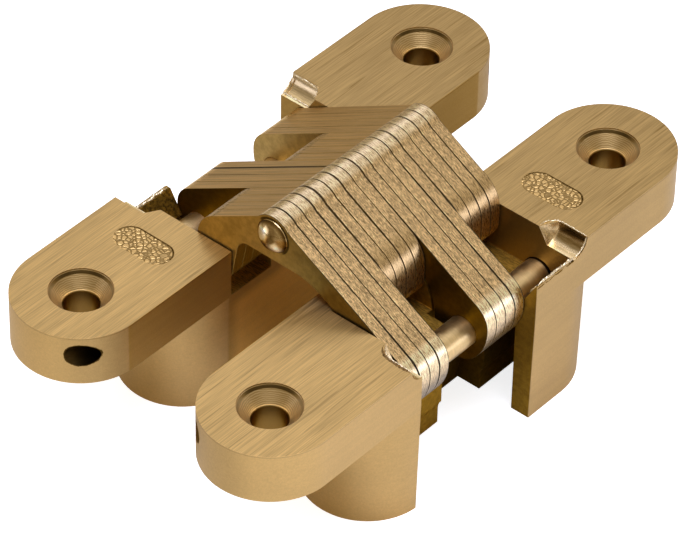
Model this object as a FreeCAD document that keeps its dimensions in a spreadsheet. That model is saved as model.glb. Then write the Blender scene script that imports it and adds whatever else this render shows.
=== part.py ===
import FreeCAD, Part
import math
import os

os.makedirs("parts", exist_ok=True)
doc = FreeCAD.newDocument("door_hinge")

# Sizes of the hinge in mm and degrees
sheet = doc.addObject("Spreadsheet::Sheet", "Sizes")
sizes = [
    # the two cast leaves
    ("leaf_length", 117.475),
    ("leaf_width", 25.4),
    ("gap_width", 18.8),
    ("leaf_depth", 34.4),
    ("plate_thickness", 10.5),
    ("block_length", 65.4),
    ("block_draft", 0.9),
    # countersunk holes for the wood screws
    ("screw_inset", 12.7),
    ("screw_rim_radius", 5.85),
    ("screw_rim_step", 0.3),
    ("screw_cone_angle", 82.0),
    ("screw_hole_radius", 3.3),
    # the stack of stamped plates
    ("link_count_per_group", 4),
    ("link_pitch", 2.58),
    ("link_gap", 0.08),
    ("stack_end_gap", 0.26),
    ("bay_side_gap", 0.10),
    # where the pins stand in the open hinge, from the inner side and down from the face
    ("pivot_in", 4.1),
    ("pivot_down", 4.0),
    ("centre_up", 8.95),
    ("slide_in", 17.3),
    ("slide_down", 10.9),
    ("arm_swing", 117.6),
    # pins and their running clearance
    ("pin_clearance", 0.05),
    ("pivot_pin_radius", 2.25),
    ("pivot_pin_start", 25.6),
    ("pivot_pin_stop", 24.6),
    ("pivot_bore_gap", 0.4),
    ("centre_pin_radius", 2.4),
    ("rivet_head_radius", 3.45),
    ("rivet_head_height", 1.9),
    ("rivet_seat_gap", 0.02),
    ("slide_pin_radius", 3.0),
    ("slide_pin_half_length", 22.9),
    ("pin_end_chamfer", 0.35),
    # outline of one stamped plate
    ("knuckle_radius", 4.3),
    ("edge_distance", 4.0),
    ("edge_slope", 30.0),
    ("edge_run", 29.3),
    ("underside_down", 5.5),
    ("tongue_radius", 4.25),
    ("shoulder_radius", 7.0),
    ("armpit_low_x", -8.3),
    ("armpit_low_z", 1.0),
    ("armpit_turn_x", -7.55),
    ("armpit_turn_z", 2.65),
    ("armpit_end_x", -6.3),
    ("toe_top_x", 32.2),
    ("toe_top_z", -8.0),
    ("toe_corner_x", 31.45),
    ("toe_corner_z", -5.3),
    ("toe_low_x", 28.7),
    ("toe_low_z", -16.6),
    ("toe_side_x", 31.2),
    ("toe_side_z", -13.1),
    ("toe_base_x", 26.0),
    ("toe_base_z", -17.5),
    ("toe_back_x", 23.2),
    ("toe_back_z", -16.3),
    ("toe_turn_x", 20.9),
    ("toe_turn_z", -13.4),
    ("heel_x", 20.1),
    ("heel_z", -10.0),
    ("throat_x", 17.9),
    ("throat_z", -4.0),
    ("brow_x", 10.4),
    ("brow_z", 2.1),
    ("brow_turn_x", 7.9),
    ("brow_turn_z", 3.1),
    ("brow_end_x", 4.6),
    # the pocket in a leaf
    ("tooth_curve_centre_in", -4.3),
    ("tooth_curve_centre_down", 11.9),
    ("tooth_curve_radius", 14.55),
    ("tooth_curve_end_down", 10.2),
    ("tooth_foot_in", 8.3),
    ("shelf_down", 10.3),
    ("slot_near_in", 14.2),
    ("slot_far_in", 21.0),
    ("slot_end_gap", 0.5),
    ("slide_clearance", 0.12),
    ("shelf_setback", 1.3),
    ("wall_lip", 0.3),
    ("wall_slant_height", 7.0),
    ("wall_top_down_a", 5.6),
    ("slant_top_down_a", 4.2),
    ("wall_top_down_b", 2.9),
    ("slant_top_down_b", 2.9),
    # half-round clearance notches for the rivet heads
    ("notch_radius_near", 2.8),
    ("notch_radius_far", 3.4),
    ("notch_tip_in", 17.0),
    ("notch_tip_angle", 118.0),
]
row = 0
for size_name, size_number in sizes:
    row = row + 1
    sheet.set("A%d" % row, size_name)
    sheet.set("B%d" % row, str(size_number))
    sheet.setAlias("B%d" % row, size_name)
doc.recompute()


def size(name):
    return float(sheet.get(name))


# Places worked out from the sizes
half_gap = size("gap_width") / 2
leaf_width = size("leaf_width")
outer_side = half_gap + leaf_width
leaf_middle = half_gap + leaf_width / 2
face = size("leaf_depth")
pivot_x = half_gap + size("pivot_in")
pivot_z = face - size("pivot_down")
slide_x = half_gap + size("slide_in")
slide_z = face - size("slide_down")
centre_z = face + size("centre_up")
pitch = size("link_pitch")
plate = pitch - size("link_gap")
per_group = int(size("link_count_per_group"))
group = per_group * pitch
pocket_end = 2 * group + size("stack_end_gap")
beyond = 2.0
half_turn = FreeCAD.Rotation(FreeCAD.Vector(0, 0, 1), 180)


def point(across, up):
    return FreeCAD.Vector(across, up, 0)


def loop(points):
    lines = []
    last = points[-1]
    for corner in points:
        lines.append(Part.LineSegment(last, corner))
        last = corner
    return lines


def circle(across, up, radius):
    middle = point(across, up)
    return Part.Circle(middle, FreeCAD.Vector(0, 0, 1), radius)


def sketch_on(body, name, role, shift, curves):
    sketch = body.newObject("Sketcher::SketchObject", name)
    for feature in body.Origin.OriginFeatures:
        if feature.Role == role:
            sketch.AttachmentSupport = (feature, [""])
    sketch.MapMode = "FlatFace"
    sketch.AttachmentOffset = FreeCAD.Placement(shift, FreeCAD.Rotation())
    sketch.addGeometry(curves, False)
    doc.recompute()
    return sketch


def cut_along_y(body, name, curves, start, stop):
    # the XZ plane looks toward -Y, and a pocket cuts away from where its plane looks
    sketch = sketch_on(body, name + "_outline", "XZ_Plane", FreeCAD.Vector(0, 0, -start), curves)
    pocket = body.newObject("PartDesign::Pocket", name)
    pocket.Profile = sketch
    pocket.Length = stop - start
    doc.recompute()
    return pocket


def cut_round(body, name, shift, corners, axis):
    sketch = sketch_on(body, name + "_outline", "XZ_Plane", shift, loop(corners))
    groove = body.newObject("PartDesign::Groove", name)
    groove.Profile = sketch
    groove.ReferenceAxis = (sketch, [axis])
    groove.Angle = 360
    doc.recompute()
    return groove


# How the slide pin travels inside a leaf while the hinge closes
def slide_path(share):
    swing = math.radians(size("arm_swing"))
    lag = math.pi / swing - 1
    arm = point(-pivot_x, centre_z - pivot_z)
    arm_length = arm.Length
    arm_angle = math.atan2(arm.y, arm.x)
    centre_x = pivot_x + arm_length * math.cos(arm_angle - share * swing)
    centre_up = pivot_z + arm_length * math.sin(arm_angle - share * swing)
    reach = point(slide_x, slide_z - centre_z)
    reach_angle = math.atan2(reach.y, reach.x) - lag * share * swing
    across = centre_x + reach.Length * math.cos(reach_angle)
    up = centre_up + reach.Length * math.sin(reach_angle)
    return point(across, up)


def slide_path_side(share, distance):
    step = 0.001
    before = slide_path(share - step)
    after = slide_path(share + step)
    along = after - before
    along.normalize()
    here = slide_path(share)
    return point(here.x - distance * along.y, here.y + distance * along.x)


def slide_relief():
    room = size("slide_pin_radius") + size("slide_clearance")
    stations = 12
    outer_points = []
    inner_points = []
    for number in range(stations + 1):
        share = number / stations
        outer_points.append(slide_path_side(share, room))
        inner_points.append(slide_path_side(share, -room))
    outer_curve = Part.BSplineCurve()
    outer_curve.interpolate(outer_points)
    inner_curve = Part.BSplineCurve()
    inner_curve.interpolate(inner_points)
    first = slide_path(0)
    last = slide_path(1)
    back = first - slide_path(0.01)
    back.normalize()
    crown = Part.Arc(inner_points[0], first + back * room, outer_points[0])
    side = point(last.x - room, last.y)
    turn = inner_points[-1] - last + side - last
    turn.normalize()
    heel = Part.Arc(inner_points[-1], last + turn * room, side)
    low_side = point(side.x, -beyond)
    low_outer = point(outer_points[-1].x, -beyond)
    return [
        outer_curve,
        Part.LineSegment(outer_points[-1], low_outer),
        Part.LineSegment(low_outer, low_side),
        Part.LineSegment(low_side, side),
        heel,
        inner_curve,
        crown,
    ]


def rounded_slot():
    near = half_gap + size("slot_near_in")
    far = half_gap + size("slot_far_in")
    radius = (far - near) / 2
    low_near = point(near, -beyond)
    high_near = point(near, slide_z)
    crown = point(near + radius, slide_z + radius)
    high_far = point(far, slide_z)
    low_far = point(far, -beyond)
    return [
        Part.LineSegment(low_far, low_near),
        Part.LineSegment(low_near, high_near),
        Part.Arc(high_near, crown, high_far),
        Part.LineSegment(high_far, low_far),
    ]


def stadium(length):
    side = leaf_width / 2
    straight = length / 2 - side
    right = leaf_middle + side
    left = leaf_middle - side
    near_right = point(right, -straight)
    far_right = point(right, straight)
    far_left = point(left, straight)
    near_left = point(left, -straight)
    far_end = point(leaf_middle, length / 2)
    near_end = point(leaf_middle, -length / 2)
    return [
        Part.LineSegment(near_right, far_right),
        Part.Arc(far_right, far_end, far_left),
        Part.LineSegment(far_left, near_left),
        Part.Arc(near_left, near_end, near_right),
    ]


# Room beside the bearing tooth for a long arm, open to the bottom
def long_bay():
    centre = point(half_gap + size("tooth_curve_centre_in"), face - size("tooth_curve_centre_down"))
    radius = size("tooth_curve_radius")
    top_angle = math.asin((face + beyond - centre.y) / radius)
    low_angle = math.asin((face - size("tooth_curve_end_down") - centre.y) / radius)
    top_angle = min(top_angle, math.radians(80))
    middle_angle = (top_angle + low_angle) / 2
    spots = []
    for angle in (top_angle, middle_angle, low_angle):
        spots.append(point(centre.x + radius * math.cos(angle), centre.y + radius * math.sin(angle)))
    ceiling = point(spots[0].x, face + 2 * beyond)
    foot = point(half_gap + size("tooth_foot_in"), -beyond)
    bay_side = half_gap + size("slot_near_in") + beyond
    low_side = point(bay_side, -beyond)
    high_side = point(bay_side, face + 2 * beyond)
    return [
        Part.LineSegment(ceiling, spots[0]),
        Part.Arc(spots[0], spots[1], spots[2]),
        Part.LineSegment(spots[2], foot),
        Part.LineSegment(foot, low_side),
        Part.LineSegment(low_side, high_side),
        Part.LineSegment(high_side, ceiling),
    ]


def box_outline(left, low, right, high):
    return loop([point(left, low), point(right, low), point(right, high), point(left, high)])


def leaf(name, wall_top_down, slant_top_down, turned):
    body = doc.addObject("PartDesign::Body", name)
    body.Label = name
    high = face + beyond
    plate_low = face - size("plate_thickness")

    # the long face plate and the drafted block below it
    outline = sketch_on(body, "plate_outline", "XY_Plane",
                        FreeCAD.Vector(0, 0, plate_low), stadium(size("leaf_length")))
    plate_pad = body.newObject("PartDesign::Pad", "face_plate")
    plate_pad.Profile = outline
    plate_pad.setExpression("Length", "Sizes.plate_thickness")
    doc.recompute()
    outline = sketch_on(body, "block_outline", "XY_Plane",
                        FreeCAD.Vector(0, 0, plate_low), stadium(size("block_length")))
    block_pad = body.newObject("PartDesign::Pad", "deep_block")
    block_pad.Profile = outline
    block_pad.Reversed = True
    block_pad.setExpression("Length", "Sizes.leaf_depth - Sizes.plate_thickness")
    block_pad.TaperAngle = -size("block_draft")
    doc.recompute()

    # countersunk screw holes
    rim = size("screw_rim_radius")
    bore = size("screw_hole_radius")
    step_z = face - size("screw_rim_step")
    cone = (rim - bore) / math.tan(math.radians(size("screw_cone_angle") / 2))
    profile = [
        point(0, plate_low - beyond),
        point(bore, plate_low - beyond),
        point(bore, step_z - cone),
        point(rim, step_z),
        point(rim, high),
        point(0, high),
    ]
    screw_y = size("leaf_length") / 2 - size("screw_inset")
    for place, along in (("near", -screw_y), ("far", screw_y)):
        cut_round(body, "screw_hole_" + place, FreeCAD.Vector(leaf_middle, 0, -along), profile, "V_Axis")

    # bays for the long arms, and hollows with a shelf for the short arms
    gap = size("bay_side_gap")
    cut_along_y(body, "long_bay_near", long_bay(), -pocket_end, -group + gap)
    cut_along_y(body, "long_bay_far", long_bay(), -size("shelf_setback"), group + gap)
    slot_near = half_gap + size("slot_near_in")
    slot_far = half_gap + size("slot_far_in")
    shelf = face - size("shelf_down")
    hollow = box_outline(half_gap - beyond, shelf, slot_near, high)
    cut_along_y(body, "short_hollow_near", hollow, -group - gap, gap)
    cut_along_y(body, "short_hollow_far", hollow, group - gap, pocket_end)
    open_side = box_outline(slot_near, -beyond, outer_side + beyond, high)
    cut_along_y(body, "open_side", open_side, -pocket_end, group + gap)
    walled_side = box_outline(slot_near, -beyond, slot_far, high)
    cut_along_y(body, "walled_side", walled_side, group, pocket_end)

    # slot of the slide pin, sunk into both end blocks, with room for its true path
    slot_end = size("slide_pin_half_length") + size("slot_end_gap")
    cut_along_y(body, "pin_slot", rounded_slot(), -slot_end, slot_end)
    cut_along_y(body, "pin_relief", slide_relief(), -slot_end, slot_end)

    # lowered top of the outer wall, with a steep slant down to the slot
    wall_start = group + gap
    slant_top = face - slant_top_down
    slant_low = slant_top - size("wall_slant_height")
    lip = outer_side - size("wall_lip")
    slant = loop([
        point(slot_near, slant_low),
        point(slot_far, slant_low),
        point(lip, slant_top),
        point(lip, high),
        point(slot_near, high),
    ])
    cut_along_y(body, "wall_slant", slant, wall_start - beyond, pocket_end)
    wall_top = face - wall_top_down
    edge = box_outline(wall_start - beyond, wall_top, pocket_end, high)
    sketch = sketch_on(body, "wall_edge_outline", "YZ_Plane",
                       FreeCAD.Vector(0, 0, outer_side + beyond), edge)
    pocket = body.newObject("PartDesign::Pocket", "wall_edge")
    pocket.Profile = sketch
    pocket.Length = outer_side + beyond - slot_far
    doc.recompute()

    # half-round notches that let the rivet heads pass
    tip = half_gap + size("notch_tip_in")
    for place in ("near", "far"):
        notch = size("notch_radius_" + place)
        tip_run = notch / math.tan(math.radians(size("notch_tip_angle") / 2))
        profile = [
            point(tip, 0),
            point(outer_side + beyond, 0),
            point(outer_side + beyond, notch),
            point(tip + tip_run, notch),
        ]
        along = pocket_end
        if (place == "near") != turned:
            along = -pocket_end
        cut_round(body, "rivet_notch_" + place, FreeCAD.Vector(0, face, -along), profile, "H_Axis")

    # long bore for the pivot pin, open at the far rounded end
    bore_circle = [circle(pivot_x, pivot_z, size("pivot_pin_radius") + size("pin_clearance"))]
    bore_start = -size("pivot_pin_start") - size("pivot_bore_gap")
    cut_along_y(body, "pivot_bore", bore_circle, bore_start, size("leaf_length") / 2)
    if turned:
        body.Placement = FreeCAD.Placement(FreeCAD.Vector(0, 0, 0), half_turn)
    doc.recompute()
    return body


# Outline of one stamped plate: short arm to -X, long arm to +X
def link_outline():
    slope = math.radians(size("edge_slope"))
    distance = size("edge_distance")
    knuckle = size("knuckle_radius")
    hub = point(0, centre_z)
    long_out = point(math.sin(slope), math.cos(slope))
    long_down = point(math.cos(slope), -math.sin(slope))
    short_out = point(-math.sin(slope), math.cos(slope))
    short_down = point(-math.cos(slope), -math.sin(slope))
    overlap = math.sqrt(knuckle * knuckle - distance * distance)
    knuckle_long = hub + long_out * distance + long_down * overlap
    knuckle_short = hub + short_out * distance + short_down * overlap
    knuckle_top = hub + point(0, knuckle)
    edge_start = hub + long_out * distance
    edge_length = (size("edge_run") - edge_start.x) / long_down.x
    edge_end = edge_start + long_down * edge_length

    def spot(name):
        return point(size(name + "_x"), face + size(name + "_z"))

    underside = centre_z - size("underside_down")
    brow_end = point(size("brow_end_x"), underside)

    # the tongue round the pivot pin and the shoulder above it
    tongue = size("tongue_radius")
    inner_x = -pivot_x + tongue
    outer_x = -pivot_x - tongue
    armpit_end = point(size("armpit_end_x"), underside)
    tongue_in = point(inner_x, pivot_z)
    tongue_low = point(-pivot_x, pivot_z - tongue)
    tongue_out = point(outer_x, pivot_z)
    shoulder = size("shoulder_radius")
    shoulder_x = outer_x + shoulder
    edge_point = hub + short_out * distance
    shoulder_z = edge_point.y + (-shoulder - (shoulder_x - edge_point.x) * short_out.x) / short_out.y
    shoulder_centre = point(shoulder_x, shoulder_z)
    shoulder_low = point(outer_x, shoulder_z)
    shoulder_high = shoulder_centre + short_out * shoulder
    half_way = shoulder_low - shoulder_centre + shoulder_high - shoulder_centre
    half_way.normalize()
    shoulder_middle = shoulder_centre + half_way * shoulder

    return [
        Part.Arc(knuckle_short, knuckle_top, knuckle_long),
        Part.LineSegment(knuckle_long, edge_end),
        Part.Arc(edge_end, spot("toe_corner"), spot("toe_top")),
        Part.Arc(spot("toe_top"), spot("toe_side"), spot("toe_low")),
        Part.Arc(spot("toe_low"), spot("toe_base"), spot("toe_back")),
        Part.Arc(spot("toe_back"), spot("toe_turn"), spot("heel")),
        Part.Arc(spot("heel"), spot("throat"), spot("brow")),
        Part.Arc(spot("brow"), spot("brow_turn"), brow_end),
        Part.LineSegment(brow_end, armpit_end),
        Part.Arc(armpit_end, spot("armpit_turn"), spot("armpit_low")),
        Part.LineSegment(spot("armpit_low"), tongue_in),
        Part.Arc(tongue_in, tongue_low, tongue_out),
        Part.LineSegment(tongue_out, shoulder_low),
        Part.Arc(shoulder_low, shoulder_middle, shoulder_high),
        Part.LineSegment(shoulder_high, knuckle_short),
    ]


def link(number):
    name = "link_plate_%02d" % number
    body = doc.addObject("PartDesign::Body", name)
    body.Label = name
    ease = size("pin_clearance")
    curves = link_outline()
    curves.append(circle(0, centre_z, size("centre_pin_radius") + ease))
    curves.append(circle(-pivot_x, pivot_z, size("pivot_pin_radius") + ease))
    curves.append(circle(slide_x, slide_z, size("slide_pin_radius") + ease))
    sketch = sketch_on(body, name + "_outline", "XZ_Plane", FreeCAD.Vector(0, 0, 0), curves)
    pad = body.newObject("PartDesign::Pad", name + "_stamping")
    pad.Profile = sketch
    pad.Midplane = True
    pad.setExpression("Length", "Sizes.link_pitch - Sizes.link_gap")
    doc.recompute()
    along = (number - 2 * per_group - 0.5) * pitch
    turn = FreeCAD.Rotation()
    if ((number - 1) // per_group) % 2 == 1:
        turn = half_turn
    body.Placement = FreeCAD.Placement(FreeCAD.Vector(0, along, 0), turn)
    doc.recompute()
    return body


def straight_pin(name, radius, start, stop, place):
    body = doc.addObject("PartDesign::Body", name)
    body.Label = name
    bevel = size("pin_end_chamfer")
    profile = loop([
        point(0, start),
        point(radius - bevel, start),
        point(radius, start + bevel),
        point(radius, stop - bevel),
        point(radius - bevel, stop),
        point(0, stop),
    ])
    sketch = sketch_on(body, name + "_outline", "XY_Plane", FreeCAD.Vector(0, 0, 0), profile)
    turning = body.newObject("PartDesign::Revolution", name + "_turning")
    turning.Profile = sketch
    turning.ReferenceAxis = (sketch, ["V_Axis"])
    turning.Angle = 360
    doc.recompute()
    body.Placement = place
    doc.recompute()
    return body


# The centre pin keeps the whole stack between its two domed heads
def riveted_pin(name):
    body = doc.addObject("PartDesign::Body", name)
    body.Label = name
    shank = size("centre_pin_radius")
    head = size("rivet_head_radius")
    height = size("rivet_head_height")
    seat = 2 * group - size("link_gap") / 2 + size("rivet_seat_gap")
    dome = (head * head + height * height) / (2 * height)
    dome_centre = seat + height - dome
    lean = math.asin(head / dome) / 2
    dome_x = dome * math.sin(lean)
    dome_y = dome_centre + dome * math.cos(lean)
    profile = [
        Part.LineSegment(point(0, -seat - height), point(0, seat + height)),
        Part.Arc(point(0, seat + height), point(dome_x, dome_y), point(head, seat)),
        Part.LineSegment(point(head, seat), point(shank, seat)),
        Part.LineSegment(point(shank, seat), point(shank, -seat)),
        Part.LineSegment(point(shank, -seat), point(head, -seat)),
        Part.Arc(point(head, -seat), point(dome_x, -dome_y), point(0, -seat - height)),
    ]
    sketch = sketch_on(body, name + "_outline", "XY_Plane", FreeCAD.Vector(0, 0, 0), profile)
    turning = body.newObject("PartDesign::Revolution", name + "_turning")
    turning.Profile = sketch
    turning.ReferenceAxis = (sketch, ["V_Axis"])
    turning.Angle = 360
    doc.recompute()
    body.Placement = FreeCAD.Placement(FreeCAD.Vector(0, 0, centre_z), FreeCAD.Rotation())
    doc.recompute()
    return body


# The pieces in the order of assembly
pieces = [
    leaf("leaf_a", size("wall_top_down_a"), size("slant_top_down_a"), True),
    leaf("leaf_b", size("wall_top_down_b"), size("slant_top_down_b"), False),
]
for link_number in range(1, 4 * per_group + 1):
    pieces.append(link(link_number))
pieces.append(riveted_pin("centre_pin"))
at_pivot_b = FreeCAD.Placement(FreeCAD.Vector(pivot_x, 0, pivot_z), FreeCAD.Rotation())
at_pivot_a = FreeCAD.Placement(FreeCAD.Vector(-pivot_x, 0, pivot_z), half_turn)
at_slide_b = FreeCAD.Placement(FreeCAD.Vector(slide_x, 0, slide_z), FreeCAD.Rotation())
at_slide_a = FreeCAD.Placement(FreeCAD.Vector(-slide_x, 0, slide_z), half_turn)
pivot_start = -size("pivot_pin_start")
pivot_stop = size("pivot_pin_stop")
pivot_radius = size("pivot_pin_radius")
slide_half = size("slide_pin_half_length")
slide_radius = size("slide_pin_radius")
pieces.append(straight_pin("pivot_pin_a", pivot_radius, pivot_start, pivot_stop, at_pivot_a))
pieces.append(straight_pin("pivot_pin_b", pivot_radius, pivot_start, pivot_stop, at_pivot_b))
pieces.append(straight_pin("slide_pin_a", slide_radius, -slide_half, slide_half, at_slide_a))
pieces.append(straight_pin("slide_pin_b", slide_radius, -slide_half, slide_half, at_slide_b))
doc.recompute()

# Every object and shape is looked at before it is written
for item in doc.Objects:
    if "Invalid" in item.State or "Error" in item.State:
        raise RuntimeError("not sound: " + item.Label)
for piece in pieces:
    shape = piece.Shape
    if shape.isNull() or not shape.isValid() or len(shape.Solids) != 1:
        raise RuntimeError("no single sound solid: " + piece.Label)
    shape.exportStep("parts/" + piece.Label + ".step")
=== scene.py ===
import math
import random

import bpy
from mathutils import Matrix, Vector


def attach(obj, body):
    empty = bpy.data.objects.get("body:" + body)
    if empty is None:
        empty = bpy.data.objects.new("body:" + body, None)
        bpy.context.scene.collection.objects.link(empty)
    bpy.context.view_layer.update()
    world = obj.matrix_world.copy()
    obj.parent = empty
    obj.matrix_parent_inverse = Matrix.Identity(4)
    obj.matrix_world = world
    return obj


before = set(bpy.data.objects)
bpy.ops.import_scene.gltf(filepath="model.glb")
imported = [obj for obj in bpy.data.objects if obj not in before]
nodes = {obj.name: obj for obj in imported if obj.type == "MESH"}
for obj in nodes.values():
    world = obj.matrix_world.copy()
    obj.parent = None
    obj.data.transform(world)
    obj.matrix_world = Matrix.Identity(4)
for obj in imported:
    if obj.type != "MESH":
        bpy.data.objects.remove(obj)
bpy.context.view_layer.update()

scene = bpy.context.scene
mm = 0.001

# The camera
# It stands to the right and above, where the photograph was taken from, far off with a long lens.
camera_data = bpy.data.cameras.new("camera")
camera = bpy.data.objects.new("camera", camera_data)
scene.collection.objects.link(camera)
scene.camera = camera
camera_data.sensor_width = 36.0
camera_data.lens = 246.75
camera_data.shift_x = 0.08712
camera_data.shift_y = -0.00819
camera_data.clip_end = 10.0
camera_place = Vector((0.40541, -0.48120, 0.57435))
camera_target = Vector((-0.0086629, -0.0085016, 0.0244))
camera_roll = math.radians(0.5494)
aim = (camera_target - camera_place).to_track_quat("-Z", "Y").to_matrix().to_4x4()
camera.matrix_world = Matrix.Translation(camera_place) @ aim @ Matrix.Rotation(camera_roll, 4, "Z")

# The table
# A white sheet under and behind the hinge. It is pure white to the camera and keeps a soft shadow.
# The metal mirrors it as a warm sheet with a painted pool of light to the right of the hinge, dimmer
# farther off.
table_half = 3.0
painted_light_spot = (0.16, 0.05, 0)
spot_start, spot_stop = 0.14, 0.42
spot_shade, dim_shade = 0.90, 0.31
sheet_shade = 0.8
sheet_glow = 0.80
sheet_white = (0.98, 0.99, 1.0, 1)
sheet_warmth = (("Red", 1.0), ("Green", 1.15), ("Blue", 1.6))


def new_material(name):
    material = bpy.data.materials.new(name)
    material.use_nodes = True
    tree = material.node_tree
    tree.nodes.clear()
    out = tree.nodes.new("ShaderNodeOutputMaterial")
    return material, tree, out


def put(tree, value, socket):
    if isinstance(value, bpy.types.NodeSocket):
        tree.links.new(value, socket)
    else:
        socket.default_value = value


def calc(tree, operation, first, second=0.0):
    made = tree.nodes.new("ShaderNodeMath")
    made.operation = operation
    put(tree, first, made.inputs[0])
    put(tree, second, made.inputs[1])
    return made.outputs[0]


def span(tree, value, from_low, from_high, to_low=0.0, to_high=1.0):
    made = tree.nodes.new("ShaderNodeMapRange")
    made.interpolation_type = "SMOOTHSTEP"
    put(tree, value, made.inputs["Value"])
    put(tree, from_low, made.inputs["From Min"])
    put(tree, from_high, made.inputs["From Max"])
    put(tree, to_low, made.inputs["To Min"])
    put(tree, to_high, made.inputs["To Max"])
    return made.outputs[0]


def blend(tree, share, first, second):
    made = tree.nodes.new("ShaderNodeMix")
    made.data_type = "FLOAT"
    put(tree, share, made.inputs["Factor"])
    put(tree, first, made.inputs["A"])
    put(tree, second, made.inputs["B"])
    return made.outputs["Result"]


table_mesh = bpy.data.meshes.new("table")
table_corners = [(-table_half, -table_half, 0), (table_half, -table_half, 0),
                 (table_half, table_half, 0), (-table_half, table_half, 0)]
table_mesh.from_pydata(table_corners, [], [(0, 1, 2, 3)])
table = bpy.data.objects.new("table", table_mesh)
scene.collection.objects.link(table)
sheet, tree, out = new_material("white_sheet")
place = tree.nodes.new("ShaderNodeTexCoord")
spot = tree.nodes.new("ShaderNodeVectorMath")
spot.operation = "DISTANCE"
tree.links.new(place.outputs["Object"], spot.inputs[0])
spot.inputs[1].default_value = painted_light_spot
rays = tree.nodes.new("ShaderNodeLightPath")
matte = tree.nodes.new("ShaderNodeBsdfDiffuse")
# painted pool of light on the sheet, seen by every ray except the camera's
reach = span(tree, spot.outputs["Value"], spot_start, spot_stop, spot_shade, dim_shade)
shade = tree.nodes.new("ShaderNodeCombineColor")
for channel, warmth in sheet_warmth:
    dimmed_channel = calc(tree, "POWER", reach, warmth)
    bright = blend(tree, rays.outputs["Is Camera Ray"], dimmed_channel, sheet_shade)
    tree.links.new(bright, shade.inputs[channel])
tree.links.new(shade.outputs[0], matte.inputs["Color"])
glow = tree.nodes.new("ShaderNodeEmission")
glow.inputs["Color"].default_value = sheet_white
seen_glow = calc(tree, "MULTIPLY", rays.outputs["Is Camera Ray"], sheet_glow)
tree.links.new(seen_glow, glow.inputs["Strength"])
both = tree.nodes.new("ShaderNodeAddShader")
tree.links.new(matte.outputs[0], both.inputs[0])
tree.links.new(glow.outputs[0], both.inputs[1])
tree.links.new(both.outputs[0], out.inputs["Surface"])
table_mesh.materials.append(sheet)

# The light of the room
# Warm walls, dim low down and paler above, with a brighter ceiling. Soft boxes stand behind, to the
# right, low on the left for the rivet head, and above.
wall_left, wall_right = 0.46, 0.56
wall_low, wall_high = 0.74, 0.97
ceiling_more = 0.15
green_warmth = 1.20
blue_warmth = 1.60
lamp_white = (1.0, 1.05, 1.38)
world = bpy.data.worlds.new("room")
scene.world = world
world.use_nodes = True
tree = world.node_tree
tree.nodes.clear()
out = tree.nodes.new("ShaderNodeOutputWorld")
place = tree.nodes.new("ShaderNodeTexCoord")
split = tree.nodes.new("ShaderNodeSeparateXYZ")
tree.links.new(place.outputs["Generated"], split.inputs[0])
sideways = span(tree, split.outputs["X"], -0.9, 0.8, wall_left, wall_right)
upward = span(tree, split.outputs["Z"], -0.1, 0.5, wall_low, wall_high)
ceiling = span(tree, split.outputs["Z"], 0.45, 0.95, 0.0, ceiling_more)
strength = calc(tree, "ADD", calc(tree, "MULTIPLY", sideways, upward), ceiling)
wall_colour = tree.nodes.new("ShaderNodeCombineColor")
tree.links.new(strength, wall_colour.inputs["Red"])
tree.links.new(calc(tree, "POWER", strength, green_warmth), wall_colour.inputs["Green"])
tree.links.new(calc(tree, "POWER", strength, blue_warmth), wall_colour.inputs["Blue"])
room = tree.nodes.new("ShaderNodeBackground")
tree.links.new(wall_colour.outputs[0], room.inputs["Color"])
white = tree.nodes.new("ShaderNodeBackground")
white.inputs["Color"].default_value = (1, 1, 1, 1)
rays = tree.nodes.new("ShaderNodeLightPath")
mix = tree.nodes.new("ShaderNodeMixShader")
tree.links.new(rays.outputs["Is Camera Ray"], mix.inputs[0])
tree.links.new(room.outputs[0], mix.inputs[1])
tree.links.new(white.outputs[0], mix.inputs[2])
tree.links.new(mix.outputs[0], out.inputs["Surface"])


def soft_box(name, place, aim_at, width, height, power):
    lamp_data = bpy.data.lights.new(name, "AREA")
    lamp_data.shape = "RECTANGLE"
    lamp_data.size = width
    lamp_data.size_y = height
    lamp_data.energy = power
    lamp_data.color = lamp_white
    lamp = bpy.data.objects.new(name, lamp_data)
    scene.collection.objects.link(lamp)
    lamp.location = place
    lamp.rotation_mode = "QUATERNION"
    lamp.rotation_quaternion = (Vector(aim_at) - Vector(place)).to_track_quat("-Z", "Y")


soft_box("box_behind", place=(-0.200, 0.215, 0.300), aim_at=(0, -0.05, 0.03),
         width=0.22, height=0.16, power=0.062)
soft_box("box_right", place=(0.55, 0.36, 0.10), aim_at=(0, 0, 0.03),
         width=0.30, height=0.22, power=0.38)
soft_box("box_left", place=(-0.27, -0.34, 0.095), aim_at=(0, -0.02, 0.045),
         width=0.22, height=0.16, power=0.16)
soft_box("box_above", place=(0.10, -0.10, 0.90), aim_at=(0, 0, 0.03),
         width=0.60, height=0.60, power=5.2)


# Rounded corners and even shading
# Every edge of the real pieces is slightly broken by tumbling and polishing. The faces stay flat
# and the corners catch light.
weld_distance = 0.002 * mm
flat_angle = math.radians(0.5)
corner_angle = math.radians(32)
face_weight = 80
shade_group = bpy.data.node_groups.new("even_shading", "GeometryNodeTree")
shade_group.interface.new_socket("Geometry", in_out="INPUT", socket_type="NodeSocketGeometry")
shade_group.interface.new_socket("Geometry", in_out="OUTPUT", socket_type="NodeSocketGeometry")
group_in = shade_group.nodes.new("NodeGroupInput")
group_out = shade_group.nodes.new("NodeGroupOutput")
smoother = shade_group.nodes.new("GeometryNodeSetShadeSmooth")
shade_group.links.new(group_in.outputs[0], smoother.inputs[0])
shade_group.links.new(smoother.outputs[0], group_out.inputs[0])


def clean_faces(piece):
    weld = piece.modifiers.new("weld", "WELD")
    weld.merge_threshold = weld_distance
    flat = piece.modifiers.new("flat", "DECIMATE")
    flat.decimate_type = "DISSOLVE"
    flat.angle_limit = flat_angle


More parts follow.
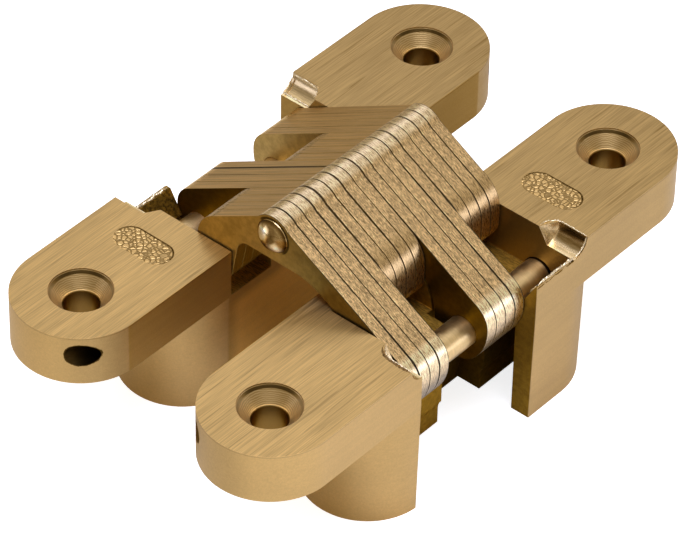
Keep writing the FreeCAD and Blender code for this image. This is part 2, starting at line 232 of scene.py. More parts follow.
def broken_edges(piece, width):
    bevel = piece.modifiers.new("edge", "BEVEL")
    bevel.width = width
    bevel.segments = 2
    bevel.limit_method = "ANGLE"
    bevel.angle_limit = corner_angle
    bevel.use_clamp_overlap = True
    smooth = piece.modifiers.new("smooth", "NODES")
    smooth.node_group = shade_group
    even = piece.modifiers.new("even", "WEIGHTED_NORMAL")
    even.mode = "FACE_AREA"
    even.weight = face_weight
    even.keep_sharp = False


# The two cast leaves
# Each is one zinc casting with a satin brass finish, turned half round to make the pair. The
# outside is brushed along its length. The pocket is left as cast, and the holes are drilled.
half_gap = 9.4 * mm
leaf_width = 25.4 * mm
leaf_middle = 22.1 * mm
face_height = 34.4 * mm
leaf_edge = 0.14 * mm
plate_thickness = 10.5 * mm
draft_slope = math.tan(math.radians(0.9))
pocket_end = 20.9 * mm
shelf_top, shelf_bottom = 10.1 * mm, 10.6 * mm
wall_inner, wall_outer = 21.0 * mm, 24.3 * mm
wall_start = 10.5 * mm
notch_stop = 24.6 * mm
notch_inner, notch_outer = 16.8 * mm, 25.3 * mm
notch_floor = 3.7 * mm
pivot_across, pivot_height = 13.5 * mm, 30.4 * mm
mouth_inner, mouth_outer = 2.64 * mm, 2.78 * mm
screw_along = 46.04 * mm
screw_rim = 5.85 * mm
screw_bore = 3.40 * mm
mark_along = 30.0 * mm
mark_straight, mark_round = 3.2 * mm, 3.0 * mm
outside_brass = (0.640, 0.440, 0.180)
pocket_brass = (0.620, 0.370, 0.060)
milled_and_lit_brass = (0.700, 0.540, 0.310)
shaded_brass = (0.620, 0.370, 0.100)
shaded_edge = (0.60, 0.40, 0.16)
white_edge = (1.0, 1.0, 1.0)
noise_low, noise_high = 0.3, 0.7


def new_brass(name):
    material, tree, out = new_material(name)
    surface = tree.nodes.new("ShaderNodeBsdfPrincipled")
    surface.inputs["Metallic"].default_value = 1.0
    tree.links.new(surface.outputs[0], out.inputs["Surface"])
    return material, tree, surface


def split_up(tree, vector):
    made = tree.nodes.new("ShaderNodeSeparateXYZ")
    tree.links.new(vector, made.inputs[0])
    return made.outputs


def times(tree, first, *others):
    made = first
    for other in others:
        made = calc(tree, "MULTIPLY", made, other)
    return made


def opposite(tree, share):
    return calc(tree, "SUBTRACT", 1.0, share)


def length_of(tree, first, second):
    return calc(tree, "SQRT", calc(tree, "ADD", times(tree, first, first), times(tree, second, second)))


def fades(tree, value, start, stop):
    return span(tree, value, start, stop, 1.0, 0.0)


def between(tree, value, low, high, soft):
    rise = span(tree, value, low - soft, low + soft)
    return times(tree, rise, fades(tree, value, high - soft, high + soft))


def dimmed(tree, tone, mask, share):
    return times(tree, tone, span(tree, mask, 0.0, 1.0, 1.0, share))


def grain(tree, place, stretch, detail=4.0, rough=0.6):
    pull = tree.nodes.new("ShaderNodeVectorMath")
    pull.operation = "MULTIPLY"
    put(tree, place, pull.inputs[0])
    pull.inputs[1].default_value = stretch
    noise = tree.nodes.new("ShaderNodeTexNoise")
    noise.inputs["Scale"].default_value = 1.0
    noise.inputs["Detail"].default_value = detail
    noise.inputs["Roughness"].default_value = rough
    tree.links.new(pull.outputs[0], noise.inputs["Vector"])
    return noise.outputs["Fac"]


def varied(tree, noise, low, high):
    return span(tree, noise, noise_low, noise_high, low, high)


def mix_colours(tree, share, first, second):
    made = tree.nodes.new("ShaderNodeMix")
    made.data_type = "VECTOR"
    put(tree, share, made.inputs["Factor"])
    put(tree, first, made.inputs[4])
    put(tree, second, made.inputs[5])
    return made.outputs[1]


def paint(tree, surface, colour, tone):
    tint = tree.nodes.new("ShaderNodeVectorMath")
    tint.operation = "SCALE"
    put(tree, colour, tint.inputs[0])
    put(tree, tone, tint.inputs["Scale"])
    tree.links.new(tint.outputs[0], surface.inputs["Base Color"])


def emboss(tree, surface, height, strength, distance):
    bump = tree.nodes.new("ShaderNodeBump")
    bump.inputs["Strength"].default_value = strength
    bump.inputs["Distance"].default_value = distance
    tree.links.new(height, bump.inputs["Height"])
    tree.links.new(bump.outputs[0], surface.inputs["Normal"])


def leaf_finish(name, far_top_shade, far_side, corner_reach):
    material, tree, surface = new_brass(name)
    place = tree.nodes.new("ShaderNodeTexCoord").outputs["Object"]
    x, y, z = split_up(tree, place)
    across = calc(tree, "ABSOLUTE", x)
    along = calc(tree, "ABSOLUTE", y)
    inward = calc(tree, "SUBTRACT", across, half_gap)
    depth = calc(tree, "SUBTRACT", face_height, z)
    own_y = times(tree, y, calc(tree, "SIGN", x))

    # brush lines on the faces, with a few deeper ones
    fine = grain(tree, place, (4300, 80, 4300), 3.0)
    medium = grain(tree, place, (1500, 34, 1500), 3.0)
    scored = fades(tree, grain(tree, place, (1900, 60, 1900), 2.0, 0.5), 0.30, 0.38)
    cloud = grain(tree, place, (70, 50, 70), 3.0, 0.5)
    speck = grain(tree, place, (3200, 3200, 3200), 4.0, 0.7)
    top = fades(tree, depth, 0.02 * mm, leaf_edge)
    top_tone = times(tree, varied(tree, fine, 0.81, 1.17), varied(tree, medium, 0.95, 1.05),
                     opposite(tree, times(tree, scored, 0.22)))
    # painted shade on the sides toward the far end and at the near corner
    side_tone = times(tree, varied(tree, speck, 0.94, 1.05), varied(tree, medium, 0.97, 1.03),
                      span(tree, y, 0.0, 45 * mm, 1.0, far_side))
    near_corner_shade = times(tree, fades(tree, inward, corner_reach - 6.0 * mm, corner_reach),
                        span(tree, y, -50.0 * mm, -45.0 * mm, 0.17, 0.0))
    side_tone = times(tree, side_tone, opposite(tree, near_corner_shade))
    rim_line = between(tree, depth, 0.18 * mm, 0.38 * mm, 0.04 * mm)
    side_tone = dimmed(tree, side_tone, rim_line, 0.78)
    # painted shade on the top toward the far end
    tone = times(tree, blend(tree, top, side_tone, top_tone), varied(tree, cloud, 0.95, 1.04),
                 span(tree, y, -45 * mm, 50 * mm, 1.0, far_top_shade))
    rough = blend(tree, top, 0.44, varied(tree, fine, 0.34, 0.46))
    relief = blend(tree, top, times(tree, speck, 0.5), fine)

    # the pocket is rough as cast and darker with painted shade, darkest below the slot and on its far end
    # wall, where the painted shade is deepest
    below_plate = calc(tree, "MAXIMUM", calc(tree, "SUBTRACT", depth, plate_thickness), 0.0)
    lean = times(tree, below_plate, draft_slope)
    skin = calc(tree, "MINIMUM", inward, calc(tree, "SUBTRACT", leaf_width, inward))
    skin = calc(tree, "SUBTRACT", skin, lean)
    cast = times(tree, span(tree, skin, 0.08 * mm, 0.18 * mm),
                 fades(tree, along, pocket_end - 0.05 * mm, pocket_end + 0.05 * mm),
                 span(tree, depth, 0.1 * mm, 0.5 * mm))
    cast_grain = grain(tree, place, (1100, 1100, 1100), 5.0, 0.65)
    shade_below_slot = times(tree, span(tree, depth, 11.0 * mm, 22.0 * mm),
                       fades(tree, inward, wall_inner - 0.1 * mm, wall_inner + 0.1 * mm),
                       span(tree, own_y, -1.0 * mm, 7.0 * mm, -0.25, 0.5))
    end_wall_shade = span(tree, own_y, pocket_end - 0.25 * mm, pocket_end - 0.05 * mm, 1.0, 0.55)
    cast_tone = times(tree, varied(tree, cast_grain, 0.40, 0.60), opposite(tree, shade_below_slot), end_wall_shade)

    # the thin wall beside the pocket is torn on its inner side
    fin = times(tree, span(tree, inward, wall_inner - 0.05 * mm, wall_inner + 0.1 * mm),
                span(tree, own_y, wall_start - 0.05 * mm, wall_start + 0.05 * mm),
                fades(tree, depth, 10.9 * mm, 11.3 * mm))
    torn = span(tree, grain(tree, place, (1500, 1500, 1500), 4.0, 0.75), 0.35, 0.65, 0.30, 1.35)
    cast_tone = times(tree, cast_tone, blend(tree, fin, 1.0, torn))

    # the shelf in the pocket shows tool marks
    shelf = times(tree, between(tree, depth, shelf_top, shelf_bottom, 0.05 * mm), cast,
                  fades(tree, inward, wall_inner - 0.3 * mm, wall_inner - 0.1 * mm))
    marks = grain(tree, place, (900, 5200, 900), 3.0)
    shelf_tone = span(tree, marks, 0.35, 0.65, 0.45, 0.95)
    tone = blend(tree, cast, tone, blend(tree, shelf, cast_tone, shelf_tone))
    rough = blend(tree, cast, rough, 0.52)
    relief = blend(tree, cast, relief, times(tree, cast_grain, 2.5))

    # the sides that face the other leaf are in the shade, less so below the linkage
    facing_in = times(tree, fades(tree, skin, 0.05 * mm, 0.12 * mm),
                      fades(tree, inward, 2.0 * mm, 4.0 * mm))
    below_links = times(tree, fades(tree, along, 18.0 * mm, 22.0 * mm),
                        span(tree, depth, 11.0 * mm, 14.0 * mm))
    tone = times(tree, tone, blend(tree, facing_in, 1.0, blend(tree, below_links, 0.84, 1.44)))

    # the notches for the rivet heads are milled and pale, with a painted highlight on their floor and
    # painted shade on their far wall
    notch = times(tree, between(tree, along, pocket_end + 0.02 * mm, notch_stop, 0.02 * mm),
                  between(tree, inward, notch_inner, notch_outer, 0.1 * mm),
                  between(tree, depth, 0.12 * mm, notch_floor, 0.04 * mm))
    notch_lines = grain(tree, place, (300, 2600, 2600), 4.0, 0.65)
    notch_wall_shade = span(tree, own_y, -1.0 * mm, 1.0 * mm, 0.85, 0.48)
    notch_light_and_shade = span(tree, along, 21.3 * mm, 23.4 * mm, 1.60, notch_wall_shade)
    notch_light_and_shade = blend(tree, span(tree, inward, 19.0 * mm, 19.6 * mm), 1.15, notch_light_and_shade)
    tone = blend(tree, notch, tone, times(tree, notch_light_and_shade, varied(tree, notch_lines, 0.75, 1.15)))
    rough = blend(tree, notch, rough, 0.24)

    # painted shade makes the long bore of the pivot pin black inside, with a rough mouth
    from_bore = length_of(tree, calc(tree, "SUBTRACT", across, pivot_across),
                          calc(tree, "SUBTRACT", z, pivot_height))
    from_bore = calc(tree, "ADD", from_bore, times(tree, cast_grain, 0.5 * mm))
    mouth = times(tree, fades(tree, from_bore, mouth_inner, mouth_outer),
                  span(tree, along, 24.0 * mm, 24.5 * mm))
    tone = dimmed(tree, tone, mouth, 0.16)

    # a painted ragged shadow below the torn top of the wall
    shadow_under_lip = times(tree, between(tree, depth, 3.0 * mm, 3.45 * mm, 0.08 * mm),
                      between(tree, own_y, wall_start, pocket_end, 0.3 * mm),
                      span(tree, inward, 24.9 * mm, 25.1 * mm))
    ragged = span(tree, grain(tree, place, (900, 900, 2200), 3.0, 0.7), 0.42, 0.56)
    tone = dimmed(tree, tone, times(tree, shadow_under_lip, ragged), 0.35)

    # turned steps in the countersinks, with painted shade below the far rim, painted light on the near
    # flanks, a painted highlight along the rim, a bright ring round the bore and painted shade in the
    # bore
    from_x = calc(tree, "SUBTRACT", across, leaf_middle)
    radius = length_of(tree, from_x, calc(tree, "SUBTRACT", along, screw_along))
    hole = times(tree, fades(tree, radius, screw_rim - 0.02 * mm, screw_rim + 0.06 * mm),
                 span(tree, depth, 0.04 * mm, 0.12 * mm))
    turn_count = 4300.0
    wander = times(tree, grain(tree, place, (260, 260, 260), 3.0), 3.0)
    turns = calc(tree, "ADD", times(tree, radius, turn_count), wander)
    ring = span(tree, calc(tree, "PINGPONG", turns, 0.5), 0.06, 0.42)
    flank_x, flank_y = 0.66, 0.75
    flank = calc(tree, "SUBTRACT", times(tree, x, flank_x), times(tree, y, flank_y))
    flank_middle = calc(tree, "SUBTRACT", times(tree, calc(tree, "SIGN", x), leaf_middle * flank_x),
                        times(tree, calc(tree, "SIGN", y), screw_along * flank_y))
    flank = calc(tree, "SUBTRACT", flank, flank_middle)
    ring_tone = times(tree, span(tree, ring, 0.0, 1.0, 0.80, 1.12),
                      span(tree, flank, -3.6 * mm, -0.4 * mm, 0.66, 1.40))
    cone = times(tree, hole, span(tree, radius, screw_bore - 0.05 * mm, screw_bore + 0.1 * mm))
    bore = times(tree, hole, fades(tree, radius, screw_bore - 0.1 * mm, screw_bore))
    bore_shade_tone = span(tree, depth, 3.2 * mm, 6.0 * mm, 0.30, 0.42)
    far_shade = span(tree, flank, -4.5 * mm, -0.3 * mm, 0.13, 1.0)
    rim_band = span(tree, radius, screw_rim - 0.56 * mm, screw_rim - 0.48 * mm)
    lit_rim = between(tree, radius, screw_rim - 0.10 * mm, screw_rim, 0.03 * mm)
    bore_rim = between(tree, radius, screw_bore, screw_bore + 0.14 * mm, 0.03 * mm)
    cone_tone = calc(tree, "ADD", blend(tree, rim_band, ring_tone, far_shade), times(tree, lit_rim, 0.5))
    cone_tone = calc(tree, "ADD", cone_tone, times(tree, bore_rim, 0.80))
    cone_tone = calc(tree, "MINIMUM", cone_tone, 1.42)
    tone = blend(tree, hole, tone, blend(tree, cone, bore_shade_tone, cone_tone))
    rough = blend(tree, hole, rough, 0.36)
    relief = blend(tree, cone, relief, times(tree, ring, 0.6))

    # the sunk oval beside each pair of arms, with a plain pebbled ground
    same_side = span(tree, times(tree, x, y), 0.0, 0.00001)
    past_straight = calc(tree, "SUBTRACT", calc(tree, "ABSOLUTE", from_x), mark_straight)
    out_x = calc(tree, "MAXIMUM", past_straight, 0.0)
    out_y = calc(tree, "SUBTRACT", along, mark_along)
    rim = calc(tree, "SUBTRACT", length_of(tree, out_x, out_y), mark_round)
    inside = times(tree, fades(tree, rim, -0.10 * mm, 0.10 * mm), same_side, top)
    pebble = tree.nodes.new("ShaderNodeTexVoronoi")
    pebble.feature = "DISTANCE_TO_EDGE"
    pebble.inputs["Scale"].default_value = 1050.0
    pebble.inputs["Randomness"].default_value = 0.9
    tree.links.new(place, pebble.inputs["Vector"])
    stones = span(tree, pebble.outputs["Distance"], 0.01, 0.20)
    ground = calc(tree, "SUBTRACT", times(tree, stones, 5.0), 6.0)
    relief = calc(tree, "ADD", relief, times(tree, inside, ground))
    tone = blend(tree, inside, tone, span(tree, stones, 0.0, 1.0, 0.58, 1.14))
    # painted shade along the far edge of the sunk oval and a painted highlight along its near edge
    edge_band = times(tree, between(tree, rim, -0.26 * mm, 0.10 * mm, 0.05 * mm), same_side, top)
    up_far = times(tree, out_y, calc(tree, "SIGN", y))
    oval_edge_light = span(tree, up_far, -2.4 * mm, 1.5 * mm, -0.25, 0.78)
    tone = times(tree, tone, opposite(tree, times(tree, edge_band, oval_edge_light)))

    # browner metal as cast and in painted shade, and paler metal where it is milled and on the painted
    # light of the countersink flanks
    brown = calc(tree, "MAXIMUM", cast, times(tree, facing_in, 0.60))
    colour = mix_colours(tree, brown, outside_brass, pocket_brass)
    lit_flank_cone = times(tree, cone, span(tree, flank, -3.0 * mm, -0.3 * mm, 0.2, 1.0))
    colour = mix_colours(tree, calc(tree, "MAXIMUM", notch, lit_flank_cone), colour, milled_and_lit_brass)
    shaded = times(tree, opposite(tree, cast), span(tree, tone, 0.30, 0.75, 0.9, 0.0))
    shaded = calc(tree, "MAXIMUM", shaded, bore)
    colour = mix_colours(tree, shaded, colour, shaded_brass)
    edge_colour = mix_colours(tree, calc(tree, "MAXIMUM", shaded, cast), white_edge, shaded_edge)
    tree.links.new(edge_colour, surface.inputs["Specular Tint"])
    paint(tree, surface, colour, tone)
    tree.links.new(rough, surface.inputs["Roughness"])
    emboss(tree, surface, relief, 0.55, 0.03 * mm)
    return material


def wall_root(name, leaf_name, side, low_y, high_y, top):
    inner = half_gap + wall_inner
    outer = half_gap + wall_outer
    corners = []
    for up in (0.0, top):
        for across, along in ((inner, low_y), (outer, low_y), (outer, high_y), (inner, high_y)):
            corners.append((side * across, side * along, up))
    faces = [(3, 2, 1, 0), (4, 5, 6, 7), (0, 1, 5, 4), (1, 2, 6, 5), (2, 3, 7, 6), (3, 0, 4, 7)]
    mesh = bpy.data.meshes.new(name)
    mesh.from_pydata(corners, [], faces)
    block = bpy.data.objects.new(name, mesh)
    scene.collection.objects.link(block)
    block.hide_render = True
    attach(block, leaf_name)
    join = nodes[leaf_name].modifiers.new(name, "BOOLEAN")
    join.operation = "UNION"
    join.solver = "EXACT"
    join.object = block


# each leaf with its side, the painted shade of its far top and far side, how far the painted shade
# of its near end reaches, and the depth at which its outer wall starts to slant
leaves = (("leaf_a", -1, 0.72, 0.86, 9.0 * mm, 11.25 * mm),
          ("leaf_b", 1, 0.80, 1.0, 20.0 * mm, 9.95 * mm))
root_start, root_stop = 10.42 * mm, 22.0 * mm
block_start, block_stop = -23.5 * mm, -20.9 * mm
for leaf_name, side, far_top_shade, far_side, corner_reach, slant_depth in leaves:
    leaf = nodes[leaf_name]
    leaf.data.materials.clear()
    leaf.data.materials.append(leaf_finish(leaf_name + "_brass", far_top_shade, far_side, corner_reach))
    clean_faces(leaf)
    slant_foot = face_height - slant_depth
    wall_root(leaf_name + "_wall_root", leaf_name, side, root_start, root_stop, slant_foot)
    wall_root(leaf_name + "_block_root", leaf_name, side, block_start, block_stop, slant_foot)
    broken_edges(leaf, leaf_edge)


# Burrs round the notches and walls of the leaves
# The milling of the notches and the trimming of the walls rolled up thin ragged lips of metal.
# They are part of the casting and are left on it.
burr_spacing = 0.16 * mm
burr_sides = 5
burr_noise = (2400, 2400, 2400)


def torn_finish(name, colour, rough_value):
    material, tree, surface = new_brass(name)
    place = tree.nodes.new("ShaderNodeTexCoord").outputs["Object"]
    lumps = grain(tree, place, burr_noise, 4.0, 0.7)
    paint(tree, surface, colour, varied(tree, lumps, 0.6, 1.2))
    surface.inputs["Roughness"].default_value = rough_value
    emboss(tree, surface, lumps, 0.6, 0.06 * mm)
    return material


def spline_through(points, spacing):
    places = []
    count = len(points)
    for number in range(count - 1):
        before = points[max(number - 1, 0)]
        start = points[number]
        stop = points[number + 1]
        after = points[min(number + 2, count - 1)]
        steps = max(1, round((stop - start).length / spacing))
        for step in range(steps):
            share = step / steps
            places.append(0.5 * (2 * start + (stop - before) * share
                                 + (2 * before - 5 * start + 4 * stop - after) * share * share
                                 + (3 * start - before - 3 * stop + after) * share * share * share))
    places.append(points[-1])
    return places


def burr(name, body, corners, out_way, width, height, material, seed):
    dice = random.Random(seed)
    places = spline_through([Vector(corner) * mm for corner in corners], burr_spacing)
    out_way = Vector(out_way).normalized()
    vertices = []
    last = len(places) - 1
    lift = 0.7
    for number, spot in enumerate(places):
        lift = 0.4 * lift + 0.6 * dice.uniform(0.1, 1.4)
        end = min(1.0, 0.2 + 5 * number / last, 0.2 + 5 * (last - number) / last)
        tall = Vector((0, 0, height * mm * lift * end))
        thick = out_way * width * mm * end * dice.uniform(0.7, 1.15)
        sway = out_way * width * mm * end * dice.uniform(-0.25, 0.25)
        vertices.append(spot - thick * 0.5 - tall * 0.3)
        vertices.append(spot - thick * 0.45 + tall * 0.5 + sway)
        vertices.append(spot + tall + sway)
        vertices.append(spot + thick * 0.45 + tall * 0.5 + sway)
        vertices.append(spot + thick * 0.5 - tall * 0.3)
    faces = []
    for number in range(last):
        first = burr_sides * number
        for side in range(burr_sides):
            other = (side + 1) % burr_sides
            faces.append((first + side, first + other,
                          first + burr_sides + other, first + burr_sides + side))
    faces.append(tuple(range(burr_sides - 1, -1, -1)))
    faces.append(tuple(range(burr_sides * last, burr_sides * last + burr_sides)))
    mesh = bpy.data.meshes.new(name)
    mesh.from_pydata([tuple(vertex) for vertex in vertices], [], faces)
    mesh.materials.append(material)
    mesh.shade_smooth()
    piece = bpy.data.objects.new(name, mesh)
    scene.collection.objects.link(piece)
    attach(piece, body)


# each burr follows a few points in millimetres along the edge that it grew on
burr_bright = torn_finish("burr_bright", (0.94, 0.79, 0.53), 0.38)
# a dark finish that paints the shade of a crack
crack_shade_dark = torn_finish("crack_shade_dark", (0.26, 0.16, 0.06), 0.5)
burr("burr_b_wall", "leaf_b",
     [(34.40, 10.9, 31.2), (34.42, 11.8, 31.5), (34.42, 14.5, 31.5), (34.42, 18.4, 31.5),
      (34.42, 21.1, 31.4)],
     out_way=(1, 0, 0), width=0.50, height=0.50, material=burr_bright, seed=4)
burr("burr_b_wall_end", "leaf_b",
     [(34.40, 10.75, 31.3), (33.9, 10.72, 30.6), (33.3, 10.70, 29.8), (33.0, 10.70, 29.2)],
     out_way=(0.6, -1, 0), width=0.28, height=0.42, material=burr_bright, seed=9)
burr("burr_b_far_rim", "leaf_b",
     [(26.4, 20.95, 34.40), (26.6, 22.2, 34.42), (27.3, 23.5, 34.42), (28.6, 24.36, 34.42),
      (31.0, 24.40, 34.42), (34.5, 24.38, 34.42)],
     out_way=(0.3, -1, 0), width=0.34, height=0.28, material=burr_bright, seed=5)
burr("burr_b_far_side", "leaf_b",
     [(34.52, 24.3, 34.2), (34.52, 23.7, 32.9), (34.52, 22.7, 31.9), (34.52, 21.4, 31.45)],
     out_way=(1, 0, 0), width=0.34, height=0.34, material=burr_bright, seed=6)
# a dark strip of painted shade in the torn crack along the near notch
burr("crack_shade_b_near", "leaf_b",
     [(26.5, -21.0, 34.40), (26.8, -22.2, 34.40), (28.0, -23.3, 34.40), (29.6, -23.8, 34.40),
      (32.0, -23.9, 34.40), (34.5, -23.9, 34.38)],
     out_way=(0, 1, 0), width=0.46, height=0.12, material=crack_shade_dark, seed=7)
burr("burr_b_near_rim", "leaf_b",
     [(26.9, -21.1, 34.40), (27.2, -22.0, 34.40), (28.4, -23.0, 34.40), (29.8, -23.45, 34.40),
      (32.0, -23.55, 34.40), (34.5, -23.6, 34.36)],
     out_way=(0, 1, 0), width=0.26, height=0.30, material=burr_bright, seed=12)
burr("burr_a_far_rim", "leaf_a",
     [(-27.0, 21.2, 34.40), (-27.3, 22.2, 34.40), (-28.3, 23.3, 34.40), (-29.8, 23.75, 34.40),
      (-32.0, 23.8, 34.40), (-34.4, 23.8, 34.36)],
     out_way=(0, 1, 0), width=0.30, height=0.30, material=burr_bright, seed=14)
burr("burr_a_far_lip", "leaf_a",
     [(-34.5, 21.1, 31.60), (-33.0, 21.1, 31.60), (-30.5, 21.1, 31.60), (-28.2, 21.1, 31.60)],
     out_way=(0, 1, 0), width=0.34, height=0.34, material=burr_bright, seed=15)
burr("burr_a_far_side", "leaf_a",
     [(-34.5, 23.6, 33.5), (-34.5, 23.1, 32.6), (-34.5, 22.2, 31.9), (-34.5, 21.2, 31.65)],
     out_way=(1, 0, 0), width=0.30, height=0.34, material=burr_bright, seed=16)
burr("burr_a_wall", "leaf_a",
     [(-34.12, -20.6, 28.85), (-34.15, -18.9, 28.85), (-34.15, -15.2, 28.85), (-34.15, -12.5, 28.85),
      (-34.15, -10.8, 28.85)],
     out_way=(1, 0, 0), width=0.75, height=0.55, material=burr_bright, seed=8)

# The sixteen link plates
# Stamped steel finished in satin brass. Their edges are ground flush in the stack and polished
# where the arms turn over, and their flat faces are plain.
plate_count = 16
group_size = 4
hub_height = 43.35 * mm
pitch = 2.58 * mm
tight_edge, open_edge = 0.05 * mm, 0.08 * mm
open_plates = (1, 4, 5, 8, 9, 12, 13, 15)
widest_gap = 0.20 * mm
# how wide the painted shade in each gap between two plates is, from the near end, as a share of the
# widest
gap_widths = (0.85, 0.60, 0.85, 1.0, 0.60, 0.85, 0.60, 0.80, 0.60, 0.65, 0.85, 1.0, 0.60, 0.85, 0.60)
# the one gap that stands open on the left slope, with wider painted shade, counted from the middle of the
# stack
left_gap_line = -1
left_gap = 0.30 * mm
edge_brass = (0.640, 0.448, 0.218)
# the left slope in a browner copy of the edge brass, as painted shade
left_slope_shade_brass = (0.625, 0.425, 0.180)
polished_brass = (0.700, 0.550, 0.345)
face_edge = (0.62, 0.42, 0.18)
# flat face colours for the groups, browner as painted shade where the faces lie deeper in the stack
light_face = (0.610, 0.435, 0.170)
near_face = (0.610, 0.415, 0.120)
deep_shade_face = (0.620, 0.385, 0.065)


def gap_share(tree, line):
    ramp = tree.nodes.new("ShaderNodeValToRGB")
    ramp.color_ramp.interpolation = "CONSTANT"
    for number, width in enumerate(gap_widths):
        if number > 1:
            ramp.color_ramp.elements.new(number / plate_count)
        step = ramp.color_ramp.elements[number]
        step.position = number / plate_count
        step.color = (width, width, width, 1)
    middle = len(gap_widths) / 2
    tree.links.new(calc(tree, "DIVIDE", calc(tree, "ADD", line, middle), plate_count), ramp.inputs[0])
    return ramp.outputs[0]


def plate_finish(name, flip, end_tone, face_colour):
    material, tree, surface = new_brass(name)
    place = tree.nodes.new("ShaderNodeTexCoord").outputs["Object"]
    x, y, z = split_up(tree, place)
    own_x = times(tree, x, flip)
    facing = tree.nodes.new("ShaderNodeNewGeometry").outputs["True Normal"]
    flat_face = span(tree, calc(tree, "ABSOLUTE", split_up(tree, facing)[1]), 0.6, 0.9)

    # the ground edges, with fine lines, flecks and small pits along the arms, and painted glints
    fine = grain(tree, place, (240, 4600, 240), 3.0)
    flecks = grain(tree, place, (1250, 4800, 1250), 4.0, 0.8)
    pits = fades(tree, grain(tree, place, (2400, 3600, 2400), 2.0, 0.5), 0.30, 0.36)
    glints = span(tree, grain(tree, place, (1900, 5200, 1900), 2.0, 0.5), 0.64, 0.72)
    tone = times(tree, varied(tree, fine, 0.80, 1.15), span(tree, flecks, 0.34, 0.66, 0.44, 1.48))
    tone = calc(tree, "SUBTRACT", tone, times(tree, pits, 0.34))
    tone = calc(tree, "ADD", tone, times(tree, glints, 0.95))
    right = span(tree, x, -4.0 * mm, -2.5 * mm)
    long_lines = grain(tree, place, (45, 4300, 45), 4.0, 0.75)
    tone = blend(tree, right, span(tree, long_lines, 0.32, 0.68, 0.74, 1.34), tone)
    rough = varied(tree, flecks, 0.34, 0.46)

    # polished where the edges turn: at the ridge, the shoulder of the short arm and the toe, with painted
    # shade low on the toe and a painted highlight at its top
    ridge = times(tree, between(tree, x, -3.0 * mm, 2.4 * mm, 0.5 * mm),
                  span(tree, z, hub_height + 2.6 * mm, hub_height + 3.4 * mm))
    shoulder = times(tree, between(tree, own_x, -18.5 * mm, -13.6 * mm, 0.8 * mm),
                     span(tree, z, 27.0 * mm, 29.0 * mm))
    toe = span(tree, own_x, 28.6 * mm, 29.8 * mm)
    turned = calc(tree, "MAXIMUM", ridge, calc(tree, "MAXIMUM", shoulder, toe))
    scratch = grain(tree, place, (900, 5200, 900), 4.0, 0.7)
    ridge_tone, shoulder_tone = 1.18, 0.78
    toe_light_and_shade = span(tree, z, 23.2 * mm, 27.8 * mm, 0.40, 1.40)
    polish = blend(tree, toe, blend(tree, shoulder, ridge_tone, shoulder_tone), toe_light_and_shade)
    polish = times(tree, polish, span(tree, scratch, 0.34, 0.66, 0.60, 1.58))
    tone = blend(tree, times(tree, turned, 0.8), tone, polish)
    rough = blend(tree, turned, rough, varied(tree, scratch, 0.24, 0.36))

    # painted shade of uneven width in the gaps between the plates, each with a painted highlight beside
    # it
    line = calc(tree, "ROUND", calc(tree, "DIVIDE", y, pitch))
    offset = calc(tree, "SUBTRACT", y, times(tree, line, pitch))
    taper = grain(tree, place, (70, 700, 70), 2.0, 0.5)
    right_gap = times(tree, gap_share(tree, line), widest_gap, varied(tree, taper, 0.7, 1.3))
    open_left = between(tree, line, left_gap_line - 0.4, left_gap_line + 0.4, 0.1)
    gap = blend(tree, right, blend(tree, open_left, 0.0, left_gap), right_gap)
    away = calc(tree, "SUBTRACT", calc(tree, "ABSOLUTE", offset), gap)
    dark = fades(tree, away, -0.02 * mm, 0.03 * mm)
    tone = blend(tree, dark, tone, 0.04)
    past = calc(tree, "SUBTRACT", offset, gap)
    lit = times(tree, between(tree, past, 0.05 * mm, 0.15 * mm, 0.03 * mm), right)
    tone = calc(tree, "ADD", tone, times(tree, lit, span(tree, flecks, 0.35, 0.6, 0.0, 0.55)))

    # the stamped faces, darker toward the arm's end, with a painted shadow in a ring round the rivet head
    skin = grain(tree, place, (900, 900, 900), 4.0)
    wide = grain(tree, place, (110, 110, 110), 2.0, 0.5)
    face_tone = times(tree, varied(tree, skin, 0.66, 0.88), varied(tree, wide, 0.80, 1.10),
                      span(tree, own_x, -4.0 * mm, 14.0 * mm, 1.0, end_tone))
    up = calc(tree, "SUBTRACT", z, hub_height)
    shadow_round_head = times(tree, between(tree, length_of(tree, x, up), 3.3 * mm, 3.85 * mm, 0.12 * mm),
                        span(tree, calc(tree, "ADD", x, up), -1.5 * mm, 0.5 * mm))
    face_tone = dimmed(tree, face_tone, shadow_round_head, 0.25)
    # painted shade in the armpit between the arms
    armpit_shade = times(tree, between(tree, own_x, -10.2 * mm, -5.8 * mm, 0.3 * mm),
                   fades(tree, up, -2.5 * mm, -1.5 * mm))
    tone = dimmed(tree, tone, armpit_shade, 0.60)
    tone = blend(tree, flat_face, tone, face_tone)
    rough = blend(tree, flat_face, rough, 0.42)

    # paler metal where it is polished, browner for painted shade on the left slope and the faces, no
    # metal in gap shade
    colour = mix_colours(tree, calc(tree, "MAXIMUM", ridge, toe), edge_brass, polished_brass)
    colour = mix_colours(tree, calc(tree, "MAXIMUM", right, ridge), left_slope_shade_brass, colour)
    deep = calc(tree, "MAXIMUM", flat_face, armpit_shade)
    colour = mix_colours(tree, deep, colour, face_colour)
    tree.links.new(mix_colours(tree, deep, white_edge, face_edge), surface.inputs["Specular Tint"])
    paint(tree, surface, colour, tone)
    tree.links.new(rough, surface.inputs["Roughness"])
    painted_gap_shade = times(tree, dark, opposite(tree, flat_face))
    tree.links.new(opposite(tree, painted_gap_shade), surface.inputs["Metallic"])
    surface.inputs["Specular IOR Level"].default_value = 0.1
    relief = calc(tree, "ADD", fine, times(tree, flecks, 1.2))
    emboss(tree, surface, dimmed(tree, relief, turned, 0.35), 0.45, 0.02 * mm)
    return material


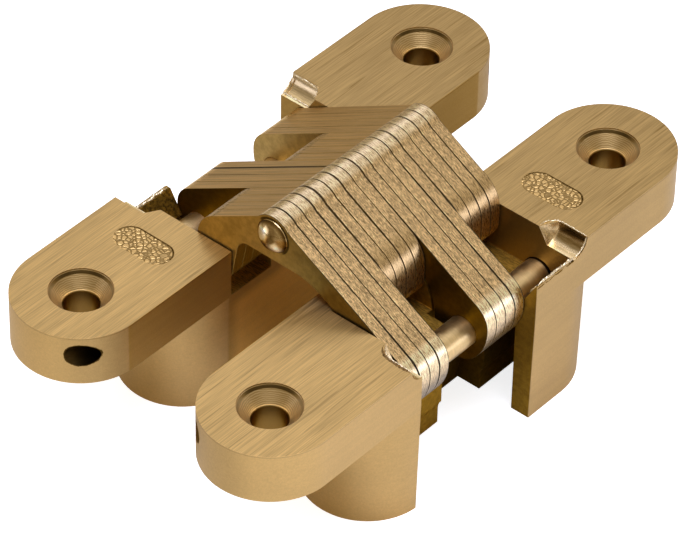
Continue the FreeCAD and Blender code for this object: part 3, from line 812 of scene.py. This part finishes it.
plate_brass = [plate_finish("plate_brass_one", 1.0, 0.38, near_face),
               plate_finish("plate_brass_two", -1.0, 0.34, deep_shade_face),
               plate_finish("plate_brass_three", 1.0, 0.34, deep_shade_face),
               plate_finish("plate_brass_four", -1.0, 0.95, light_face)]
for number in range(1, plate_count + 1):
    plate = nodes["link_plate_%02d" % number]
    plate.data.materials.clear()
    plate.data.materials.append(plate_brass[(number - 1) // group_size])
    clean_faces(plate)
    broken_edges(plate, open_edge if number in open_plates else tight_edge)


# The five pins
# Turned steel in a smoother, brighter finish. The centre pin is riveted over at both ends, and its
# heads carry two painted highlights with a painted dark reflection between them and painted shade at the
# rim.
pin_edge = 0.06 * mm
head_start = 20.70 * mm
rim_shade_start, head_rim = 2.75 * mm, 3.3 * mm
pin_brass = (0.76, 0.565, 0.28)
head_shade_brass = (0.60, 0.34, 0.09)
highlight_brass = (0.92, 0.79, 0.56)
# the painted highlights and painted dark reflection of a rivet head: across and up from its middle, reach
# and gain
head_light_places = ((-1.2, 0.8, 2.4, 1.90), (1.9, -0.9, 1.8, 0.80),
               (0.8, 0.5, 1.5, -0.70), (-0.5, -1.5, 1.6, -0.50))


def pin_finish(name, rough_low, rough_high):
    material, tree, surface = new_brass(name)
    place = tree.nodes.new("ShaderNodeTexCoord").outputs["Object"]
    x, y, z = split_up(tree, place)
    rings = grain(tree, place, (140, 2600, 140), 3.0)
    dents = grain(tree, place, (420, 420, 420), 3.0)
    stains = grain(tree, place, (240, 240, 240), 4.0, 0.7)
    tone = times(tree, varied(tree, rings, 0.95, 1.04), varied(tree, stains, 0.94, 1.18))

    # the rivet heads, with painted highlights, a painted dark reflection and painted shade at the rim
    head = span(tree, calc(tree, "ABSOLUTE", y), head_start, head_start + 0.1 * mm)
    up = calc(tree, "SUBTRACT", z, hub_height)
    head_light = varied(tree, stains, 0.42, 0.72)
    for at_x, at_z, reach, gain in head_light_places:
        off = length_of(tree, calc(tree, "SUBTRACT", x, at_x * mm), calc(tree, "SUBTRACT", up, at_z * mm))
        off = calc(tree, "ADD", off, times(tree, stains, 0.5 * mm))
        head_light = calc(tree, "ADD", head_light, times(tree, fades(tree, off, 0.2 * mm, reach * mm), gain))
    head_light = calc(tree, "MAXIMUM", head_light, 0.22)
    head_light = times(tree, head_light, span(tree, length_of(tree, x, up), rim_shade_start, head_rim, 1.0, 0.25))
    tone = times(tree, tone, blend(tree, head, 1.0, head_light))
    colour = mix_colours(tree, times(tree, head, fades(tree, head_light, 0.2, 0.9)), pin_brass, head_shade_brass)
    colour = mix_colours(tree, times(tree, head, span(tree, head_light, 0.9, 1.7)), colour, highlight_brass)
    paint(tree, surface, colour, tone)
    tree.links.new(varied(tree, stains, rough_low, rough_high), surface.inputs["Roughness"])
    emboss(tree, surface, dents, 0.4, 0.05 * mm)
    return material


slide_brass = pin_finish("slide_brass", 0.32, 0.44)
rivet_brass = pin_finish("rivet_brass", 0.17, 0.28)
for pin_name in ("centre_pin", "pivot_pin_a", "pivot_pin_b", "slide_pin_a", "slide_pin_b"):
    pin = nodes[pin_name]
    pin.data.materials.clear()
    pin.data.materials.append(rivet_brass if pin_name == "centre_pin" else slide_brass)
    clean_faces(pin)
    broken_edges(pin, pin_edge)

scene.view_settings.view_transform = "Standard"
